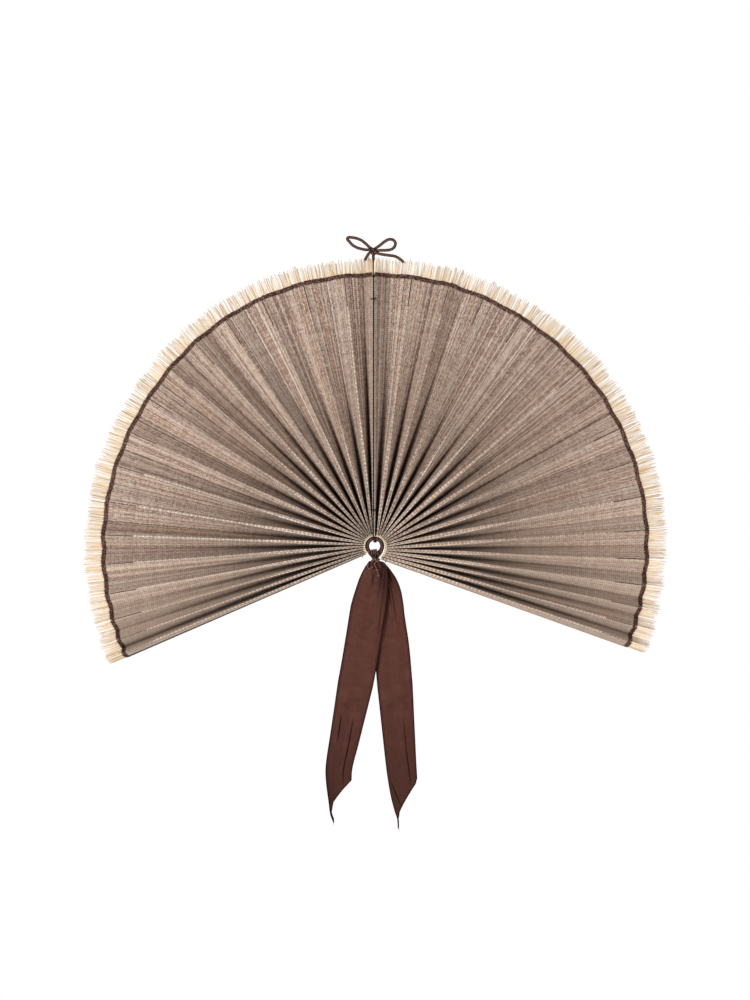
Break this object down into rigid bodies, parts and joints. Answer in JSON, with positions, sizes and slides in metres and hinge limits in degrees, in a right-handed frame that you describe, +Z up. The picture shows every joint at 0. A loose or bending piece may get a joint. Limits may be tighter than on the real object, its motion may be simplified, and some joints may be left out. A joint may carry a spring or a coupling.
{
  "type": "decorative wall fan",
  "caption": "Pleated split-bamboo wall fan with a fringed rim, a cord ring at its hub, a hanging ribbon and a cord bow on top; both halves fold up.",
  "frame": {"origin": "centre of the ring's eye, where a pin in the wall holds the fan", "axes": "+Z up along the seam, the fan faces -Y, the wall is towards +Y"},
  "size_m": [0.895, 0.0474, 0.9192],
  "materials": {
    "splint_mat": "matte woven split bamboo, taupe, with fine lighter and darker streaks",
    "dark_cord": "satin dark brown twisted cord",
    "sewing_thread": "matte red-brown thread",
    "ribbon_cloth": "matte brown cotton ribbon"
  },
  "bodies": {
    "hub": {"ring": "dark_cord", "left_centre_panel": "splint_mat", "right_centre_panel": "splint_mat", "seam_cord": "sewing_thread", "upper_seam_tie": "sewing_thread", "lower_seam_tie": "sewing_thread", "root_lacing": "sewing_thread", "ring_tie_cord": "dark_cord", "ribbon_gather": "ribbon_cloth", "bow_cord": "dark_cord"},
    "left_pleat_01": {"left_pleat_01": "splint_mat"},
    "left_pleat_02": {"left_pleat_02": "splint_mat"},
    "left_pleat_03": {"left_pleat_03": "splint_mat"},
    "left_pleat_04": {"left_pleat_04": "splint_mat"},
    "left_pleat_05": {"left_pleat_05": "splint_mat"},
    "left_pleat_06": {"left_pleat_06": "splint_mat"},
    "left_pleat_07": {"left_pleat_07": "splint_mat"},
    "left_pleat_08": {"left_pleat_08": "splint_mat"},
    "left_pleat_09": {"left_pleat_09": "splint_mat"},
    "left_pleat_10": {"left_pleat_10": "splint_mat"},
    "left_pleat_11": {"left_pleat_11": "splint_mat"},
    "left_pleat_12": {"left_pleat_12": "splint_mat"},
    "left_pleat_13": {"left_pleat_13": "splint_mat"},
    "left_pleat_14": {"left_pleat_14": "splint_mat"},
    "left_pleat_15": {"left_pleat_15": "splint_mat"},
    "left_pleat_16": {"left_pleat_16": "splint_mat"},
    "right_pleat_01": {"right_pleat_01": "splint_mat"},
    "right_pleat_02": {"right_pleat_02": "splint_mat"},
    "right_pleat_03": {"right_pleat_03": "splint_mat"},
    "right_pleat_04": {"right_pleat_04": "splint_mat"},
    "right_pleat_05": {"right_pleat_05": "splint_mat"},
    "right_pleat_06": {"right_pleat_06": "splint_mat"},
    "right_pleat_07": {"right_pleat_07": "splint_mat"},
    "right_pleat_08": {"right_pleat_08": "splint_mat"},
    "right_pleat_09": {"right_pleat_09": "splint_mat"},
    "right_pleat_10": {"right_pleat_10": "splint_mat"},
    "right_pleat_11": {"right_pleat_11": "splint_mat"},
    "right_pleat_12": {"right_pleat_12": "splint_mat"},
    "right_pleat_13": {"right_pleat_13": "splint_mat"},
    "right_pleat_14": {"right_pleat_14": "splint_mat"},
    "right_pleat_15": {"right_pleat_15": "splint_mat"},
    "right_pleat_16": {"right_pleat_16": "splint_mat"},
    "ribbon_front": {"ribbon_front_tail": "ribbon_cloth"},
    "ribbon_back": {"ribbon_back_tail": "ribbon_cloth"}
  },
  "joints": [
    {"name": "left_fold", "type": "hinge", "parent": "hub", "child": "left_pleat_16", "pos_m": [0.00157, 0.008, -0.00094], "axis": [0, 1, 0], "range_deg": [0, 106.8], "deforming": ["left_pleat_16", "left_centre_panel"]},
    {"name": "left_fold_15", "type": "hinge", "parent": "hub", "child": "left_pleat_15", "pos_m": [0.00069, 0.008, -0.00044], "axis": [0, 1, 0], "range_deg": [0, 104.15], "deforming": ["left_pleat_15"]},
    {"name": "left_fold_14", "type": "hinge", "parent": "hub", "child": "left_pleat_14", "pos_m": [-0.0001, 0.008, 0.00007], "axis": [0, 1, 0], "range_deg": [0, 100.23], "deforming": ["left_pleat_14"]},
    {"name": "left_fold_13", "type": "hinge", "parent": "hub", "child": "left_pleat_13", "pos_m": [-0.00078, 0.008, 0.0006], "axis": [0, 1, 0], "range_deg": [0, 95.18], "deforming": ["left_pleat_13"]},
    {"name": "left_fold_12", "type": "hinge", "parent": "hub", "child": "left_pleat_12", "pos_m": [-0.00135, 0.008, 0.00116], "axis": [0, 1, 0], "range_deg": [0, 89.3], "deforming": ["left_pleat_12"]},
    {"name": "left_fold_11", "type": "hinge", "parent": "hub", "child": "left_pleat_11", "pos_m": [-0.0018, 0.008, 0.00173], "axis": [0, 1, 0], "range_deg": [0, 83.48], "deforming": ["left_pleat_11"]},
    {"name": "left_fold_10", "type": "hinge", "parent": "hub", "child": "left_pleat_10", "pos_m": [-0.00213, 0.008, 0.00233], "axis": [0, 1, 0], "range_deg": [0, 76.86], "deforming": ["left_pleat_10"]},
    {"name": "left_fold_09", "type": "hinge", "parent": "hub", "child": "left_pleat_09", "pos_m": [-0.00233, 0.008, 0.00294], "axis": [0, 1, 0], "range_deg": [0, 69.48], "deforming": ["left_pleat_09"]},
    {"name": "left_fold_08", "type": "hinge", "parent": "hub", "child": "left_pleat_08", "pos_m": [-0.0024, 0.008, 0.00352], "axis": [0, 1, 0], "range_deg": [0, 62.17], "deforming": ["left_pleat_08"]},
    {"name": "left_fold_07", "type": "hinge", "parent": "hub", "child": "left_pleat_07", "pos_m": [-0.00235, 0.008, 0.00407], "axis": [0, 1, 0], "range_deg": [0, 54.38], "deforming": ["left_pleat_07"]},
    {"name": "left_fold_06", "type": "hinge", "parent": "hub", "child": "left_pleat_06", "pos_m": [-0.00218, 0.008, 0.00451], "axis": [0, 1, 0], "range_deg": [0, 46.76], "deforming": ["left_pleat_06"]},
    {"name": "left_fold_05", "type": "hinge", "parent": "hub", "child": "left_pleat_05", "pos_m": [-0.00191, 0.008, 0.00474], "axis": [0, 1, 0], "range_deg": [0, 39.64], "deforming": ["left_pleat_05"]},
    {"name": "left_fold_04", "type": "hinge", "parent": "hub", "child": "left_pleat_04", "pos_m": [-0.00153, 0.008, 0.00483], "axis": [0, 1, 0], "range_deg": [0, 31.93], "deforming": ["left_pleat_04"]},
    {"name": "left_fold_03", "type": "hinge", "parent": "hub", "child": "left_pleat_03", "pos_m": [-0.00108, 0.008, 0.00472], "axis": [0, 1, 0], "range_deg": [0, 23.41], "deforming": ["left_pleat_03"]},
    {"name": "left_fold_02", "type": "hinge", "parent": "hub", "child": "left_pleat_02", "pos_m": [-0.00057, 0.008, 0.0041], "axis": [0, 1, 0], "range_deg": [0, 14.43], "deforming": ["left_pleat_02"]},
    {"name": "left_fold_01", "type": "hinge", "parent": "hub", "child": "left_pleat_01", "pos_m": [-0.00002, 0.008, 0.00038], "axis": [0, 1, 0], "range_deg": [0, 5.89], "deforming": ["left_pleat_01"]},
    {"name": "right_fold", "type": "hinge", "parent": "hub", "child": "right_pleat_16", "pos_m": [-0.00831, 0.008, -0.0054], "axis": [0, -1, 0], "range_deg": [0, 103.12], "deforming": ["right_pleat_16", "right_centre_panel"]},
    {"name": "right_fold_15", "type": "hinge", "parent": "hub", "child": "right_pleat_15", "pos_m": [-0.0068, 0.008, -0.00469], "axis": [0, -1, 0], "range_deg": [0, 100.25], "deforming": ["right_pleat_15"]},
    {"name": "right_fold_14", "type": "hinge", "parent": "hub", "child": "right_pleat_14", "pos_m": [-0.00557, 0.008, -0.00413], "axis": [0, -1, 0], "range_deg": [0, 96.69], "deforming": ["right_pleat_14"]},
    {"name": "right_fold_13", "type": "hinge", "parent": "hub", "child": "right_pleat_13", "pos_m": [-0.00458, 0.008, -0.00369], "axis": [0, -1, 0], "range_deg": [0, 92.53], "deforming": ["right_pleat_13"]},
    {"name": "right_fold_12", "type": "hinge", "parent": "hub", "child": "right_pleat_12", "pos_m": [-0.00381, 0.008, -0.00339], "axis": [0, -1, 0], "range_deg": [0, 87.47], "deforming": ["right_pleat_12"]},
    {"name": "right_fold_11", "type": "hinge", "parent": "hub", "child": "right_pleat_11", "pos_m": [-0.0032, 0.008, -0.00318], "axis": [0, -1, 0], "range_deg": [0, 81.8], "deforming": ["right_pleat_11"]},
    {"name": "right_fold_10", "type": "hinge", "parent": "hub", "child": "right_pleat_10", "pos_m": [-0.00275, 0.008, -0.00311], "axis": [0, -1, 0], "range_deg": [0, 75.14], "deforming": ["right_pleat_10"]},
    {"name": "right_fold_09", "type": "hinge", "parent": "hub", "child": "right_pleat_09", "pos_m": [-0.00242, 0.008, -0.00315], "axis": [0, -1, 0], "range_deg": [0, 68], "deforming": ["right_pleat_09"]},
    {"name": "right_fold_08", "type": "hinge", "parent": "hub", "child": "right_pleat_08", "pos_m": [-0.00219, 0.008, -0.00329], "axis": [0, -1, 0], "range_deg": [0, 60.9], "deforming": ["right_pleat_08"]},
    {"name": "right_fold_07", "type": "hinge", "parent": "hub", "child": "right_pleat_07", "pos_m": [-0.00203, 0.008, -0.00356], "axis": [0, -1, 0], "range_deg": [0, 53.93], "deforming": ["right_pleat_07"]},
    {"name": "right_fold_06", "type": "hinge", "parent": "hub", "child": "right_pleat_06", "pos_m": [-0.00194, 0.008, -0.00401], "axis": [0, -1, 0], "range_deg": [0, 46.68], "deforming": ["right_pleat_06"]},
    {"name": "right_fold_05", "type": "hinge", "parent": "hub", "child": "right_pleat_05", "pos_m": [-0.00188, 0.008, -0.00474], "axis": [0, -1, 0], "range_deg": [0, 39.17], "deforming": ["right_pleat_05"]},
    {"name": "right_fold_04", "type": "hinge", "parent": "hub", "child": "right_pleat_04", "pos_m": [-0.00185, 0.008, -0.00601], "axis": [0, -1, 0], "range_deg": [0, 31.02], "deforming": ["right_pleat_04"]},
    {"name": "right_fold_03", "type": "hinge", "parent": "hub", "child": "right_pleat_03", "pos_m": [-0.00184, 0.008, -0.00842], "axis": [0, -1, 0], "range_deg": [0, 22.34], "deforming": ["right_pleat_03"]},
    {"name": "right_fold_02", "type": "hinge", "parent": "hub", "child": "right_pleat_02", "pos_m": [-0.00184, 0.008, -0.01265], "axis": [0, -1, 0], "range_deg": [0, 14.98], "deforming": ["right_pleat_02"]},
    {"name": "right_fold_01", "type": "hinge", "parent": "hub", "child": "right_pleat_01", "pos_m": [-0.00184, 0.008, -0.02601], "axis": [0, -1, 0], "range_deg": [0, 7.33], "deforming": ["right_pleat_01"]},
    {"name": "ribbon_front_swing", "type": "hinge", "parent": "hub", "child": "ribbon_front", "pos_m": [0.0015, -0.01605, -0.03227], "axis": [0, 1, 0], "range_deg": [-25, 25], "stiffness_Nm_per_rad": 0.02, "springref_deg": 5.16},
    {"name": "ribbon_back_swing", "type": "hinge", "parent": "hub", "child": "ribbon_back", "pos_m": [0.0015, -0.01045, -0.03227], "axis": [0, 1, 0], "range_deg": [-25, 25], "stiffness_Nm_per_rad": 0.02, "springref_deg": -4.3}
  ],
  "couplings": [
    {"joint": "left_fold_15", "follows": "left_fold", "ratio": 0.97501},
    {"joint": "left_fold_14", "follows": "left_fold", "ratio": 0.93827},
    {"joint": "left_fold_13", "follows": "left_fold", "ratio": 0.89106},
    {"joint": "left_fold_12", "follows": "left_fold", "ratio": 0.83598},
    {"joint": "left_fold_11", "follows": "left_fold", "ratio": 0.78146},
    {"joint": "left_fold_10", "follows": "left_fold", "ratio": 0.71946},
    {"joint": "left_fold_09", "follows": "left_fold", "ratio": 0.65041},
    {"joint": "left_fold_08", "follows": "left_fold", "ratio": 0.58189},
    {"joint": "left_fold_07", "follows": "left_fold", "ratio": 0.50903},
    {"joint": "left_fold_06", "follows": "left_fold", "ratio": 0.43767},
    {"joint": "left_fold_05", "follows": "left_fold", "ratio": 0.37097},
    {"joint": "left_fold_04", "follows": "left_fold", "ratio": 0.29881},
    {"joint": "left_fold_03", "follows": "left_fold", "ratio": 0.21904},
    {"joint": "left_fold_02", "follows": "left_fold", "ratio": 0.1349},
    {"joint": "left_fold_01", "follows": "left_fold", "ratio": 0.054949},
    {"joint": "right_fold_15", "follows": "right_fold", "ratio": 0.972},
    {"joint": "right_fold_14", "follows": "right_fold", "ratio": 0.93747},
    {"joint": "right_fold_13", "follows": "right_fold", "ratio": 0.89714},
    {"joint": "right_fold_12", "follows": "right_fold", "ratio": 0.84802},
    {"joint": "right_fold_11", "follows": "right_fold", "ratio": 0.7931},
    {"joint": "right_fold_10", "follows": "right_fold", "ratio": 0.72842},
    {"joint": "right_fold_09", "follows": "right_fold", "ratio": 0.65925},
    {"joint": "right_fold_08", "follows": "right_fold", "ratio": 0.59034},
    {"joint": "right_fold_07", "follows": "right_fold", "ratio": 0.52276},
    {"joint": "right_fold_06", "follows": "right_fold", "ratio": 0.45249},
    {"joint": "right_fold_05", "follows": "right_fold", "ratio": 0.37965},
    {"joint": "right_fold_04", "follows": "right_fold", "ratio": 0.30062},
    {"joint": "right_fold_03", "follows": "right_fold", "ratio": 0.21642},
    {"joint": "right_fold_02", "follows": "right_fold", "ratio": 0.14506},
    {"joint": "right_fold_01", "follows": "right_fold", "ratio": 0.070906}
  ]
}
